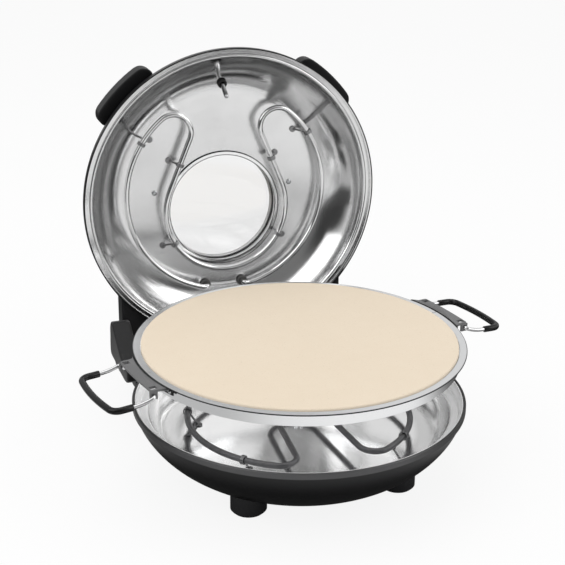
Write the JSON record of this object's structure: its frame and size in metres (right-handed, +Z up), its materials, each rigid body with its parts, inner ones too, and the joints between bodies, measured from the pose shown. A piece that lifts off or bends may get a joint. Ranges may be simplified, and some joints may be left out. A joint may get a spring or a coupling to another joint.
{
  "type": "electric pizza maker",
  "caption": "Countertop electric pizza maker with a hinged domed lid with a round window, a steel-rimmed stone on bail handles and a heater in base and lid.",
  "frame": {"origin": "on the table, under the centre of the round base", "axes": "+Z up; -Y front, where the lid's grips are when it is closed; +Y rear, where the hinge is; +X right as seen from the front"},
  "size_m": [0.4394, 0.4521, 0.3777],
  "materials": {
    "shell_black": "black baked enamel, soft gloss",
    "bowl_steel": "bright rolled stainless, nearly mirror",
    "heater_dark": "sheathed heater tube, heat-darkened",
    "heater_bright": "sheathed heater tube, bright",
    "clip_steel": "pressed steel",
    "screw_steel": "plated steel",
    "ring_steel": "satin steel sheet",
    "bracket_grey": "dark grey satin",
    "wire_steel": "plated wire",
    "sleeve_black": "heat-proof sleeve, satin",
    "stone": "unglazed cordierite, matt and speckled",
    "ceramic_white": "glazed bush",
    "black_plastic": "moulded, fine texture",
    "foot_plastic": "moulded, satin",
    "black_rubber": "soft rubber",
    "white_rubber": "woven gasket",
    "window_glass": "clear toughened glass",
    "bezel_black": "black enamel ring"
  },
  "bodies": {
    "base": {"base_shell": "shell_black", "base_liner": "bowl_steel", "base_heater": "heater_dark", "base_heater_clips": "clip_steel", "base_heater_bushes": "ceramic_white", "thermostat": "clip_steel", "thermostat_screws": "screw_steel", "terminal_block": "ceramic_white", "terminal_screws": "screw_steel", "foot_front_left": "foot_plastic", "foot_front_right": "foot_plastic", "foot_rear_left": "foot_plastic", "foot_rear_right": "foot_plastic", "foot_pads": "black_rubber", "foot_screws": "screw_steel", "hinge_housing": "black_plastic", "hinge_pins": "screw_steel", "housing_screws": "screw_steel", "cord_gland": "black_rubber"},
    "lid": {"lid_shell": "shell_black", "lid_liner": "bowl_steel", "lid_heater": "heater_bright", "lid_heater_clips": "clip_steel", "lid_heater_bushes": "ceramic_white", "inner_glass": "window_glass", "inner_bezel": "bowl_steel", "window_gasket": "white_rubber", "window_sleeve": "clip_steel", "outer_glass": "window_glass", "outer_bezel": "bezel_black", "temperature_probe": "screw_steel", "probe_seal": "black_rubber", "grip_left": "black_plastic", "grip_right": "black_plastic", "grip_screws": "screw_steel", "lid_hinge_bracket": "black_plastic", "bracket_screws": "screw_steel", "plate_screws": "screw_steel"},
    "tray": {"ring_front": "ring_steel", "ring_rear": "ring_steel", "handle_bracket_left": "bracket_grey", "handle_bracket_right": "bracket_grey", "ring_rivets": "screw_steel"},
    "stone": {"pizza_stone": "stone"},
    "bail_left": {"bail_wire_left": "wire_steel", "bail_sleeve_left": "sleeve_black"},
    "bail_right": {"bail_wire_right": "wire_steel", "bail_sleeve_right": "sleeve_black"}
  },
  "joints": [
    {"name": "lid_hinge", "type": "hinge", "parent": "base", "child": "lid", "pos_m": [0, 0.1776, 0.0348], "axis": [1, 0, 0], "range_deg": [0, 90.8]},
    {"name": "tray_lift", "type": "slide", "parent": "base", "child": "tray", "axis": [0, 0, -1], "range_m": [0, 0.0538]},
    {"name": "stone_lift", "type": "slide", "parent": "tray", "child": "stone", "axis": [0, 0, 1], "range_m": [0, 0.004]},
    {"name": "bail_left_swing", "type": "hinge", "parent": "tray", "child": "bail_left", "pos_m": [-0.16925, -0.03061, 0.1276], "axis": [-0.1779, 0.984, 0], "range_deg": [0, 96]},
    {"name": "bail_right_swing", "type": "hinge", "parent": "tray", "child": "bail_right", "pos_m": [0.16925, 0.03061, 0.1276], "axis": [0.1779, -0.984, 0], "range_deg": [0, 96]}
  ],
  "couplings": [
    {"joint": "tray_lift", "follows": "lid_hinge", "m_per_rad": 0.033885}
  ]
}
